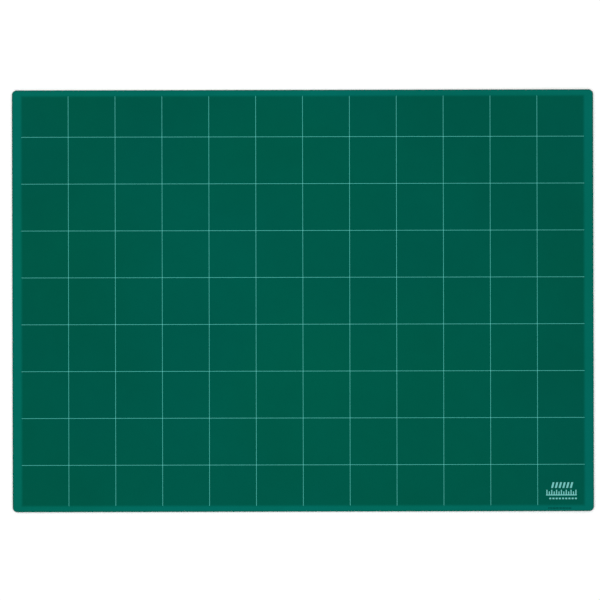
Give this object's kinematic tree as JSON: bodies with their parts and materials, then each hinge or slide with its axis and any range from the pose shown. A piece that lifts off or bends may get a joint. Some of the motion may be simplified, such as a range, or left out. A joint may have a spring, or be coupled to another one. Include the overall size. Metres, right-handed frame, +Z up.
{
  "type": "self-healing cutting mat",
  "caption": "Flat laminated sheet with round corners, soft self-healing skins over a rigid core, and a printed square measuring grid, for cutting and punching on.",
  "frame": {"origin": "centre of the underside, on the plane that rests on the bench", "axes": "+X along the long side, to the right when the corner mark is at the front right; +Y along the short side, away from the user; +Z up through the sheet, out of the printed side"},
  "size_m": [0.62, 0.45, 0.002],
  "materials": {
    "bottom_skin": "matte",
    "lower_tie_ply": "matte",
    "rigid_core": "matte",
    "upper_tie_ply": "matte",
    "top_skin": "matte",
    "work_field_print": "matte",
    "pale_ink": "matte",
    "dark_ink": "matte"
  },
  "bodies": {
    "root": {"bottom_skin": "bottom_skin", "lower_tie_ply": "lower_tie_ply", "rigid_core": "rigid_core", "upper_tie_ply": "upper_tie_ply", "top_skin": "top_skin", "work_field_print": "work_field_print", "grid_line_print": "pale_ink", "corner_mark_print": "pale_ink", "margin_imprint": "dark_ink"}
  },
  "joints": []
}
